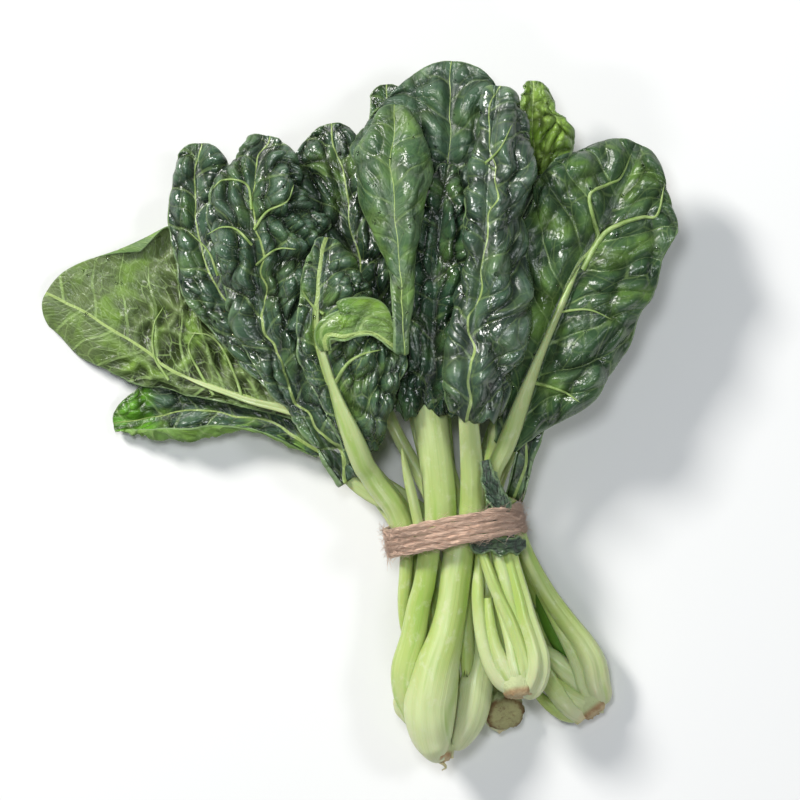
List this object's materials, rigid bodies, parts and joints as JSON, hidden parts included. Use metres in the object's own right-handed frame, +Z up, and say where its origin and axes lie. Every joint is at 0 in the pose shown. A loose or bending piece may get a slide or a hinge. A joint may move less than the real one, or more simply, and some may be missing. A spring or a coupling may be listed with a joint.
{
  "type": "bunch of leafy greens",
  "caption": "Tied bunch of dark crinkled leafy greens lying on its side, with pale stalks in small heads held by a band of twine.",
  "frame": {"origin": "on the table under the middle of the lying bunch's bounding box", "axes": "+Z up from the table, +Y along the bunch from the cut ends towards the leaf tips, +X to the right across it"},
  "size_m": [0.2557, 0.2811, 0.063],
  "materials": {
    "stalk": "smooth and faintly waxy, pale green turning white at the bulb",
    "leaf": "dark green, crinkled and wet",
    "twine": "dry twisted jute"
  },
  "bodies": {
    "root": {"stalks_a": "stalk", "stalks_b": "stalk", "stalks_c": "stalk", "stalks_d": "stalk", "leaf_under_right": "leaf", "leaf_under_centre": "leaf", "leaf_low_left": "leaf", "leaf_wide_left": "leaf", "leaf_edge_right": "leaf", "leaf_back_centre": "leaf", "leaf_upper_left": "leaf", "leaf_back_left": "leaf", "leaf_back_right": "leaf", "leaf_crossing_right": "leaf", "leaf_low_right": "leaf", "leaf_tall_back": "leaf", "leaf_wide_right": "leaf", "leaf_crinkled_left": "leaf", "leaf_dark_centre": "leaf", "leaf_front_left": "leaf", "leaf_smooth_centre": "leaf", "leaf_tall_right": "leaf", "leaf_tucked": "leaf", "twine": "twine"}
  },
  "joints": []
}
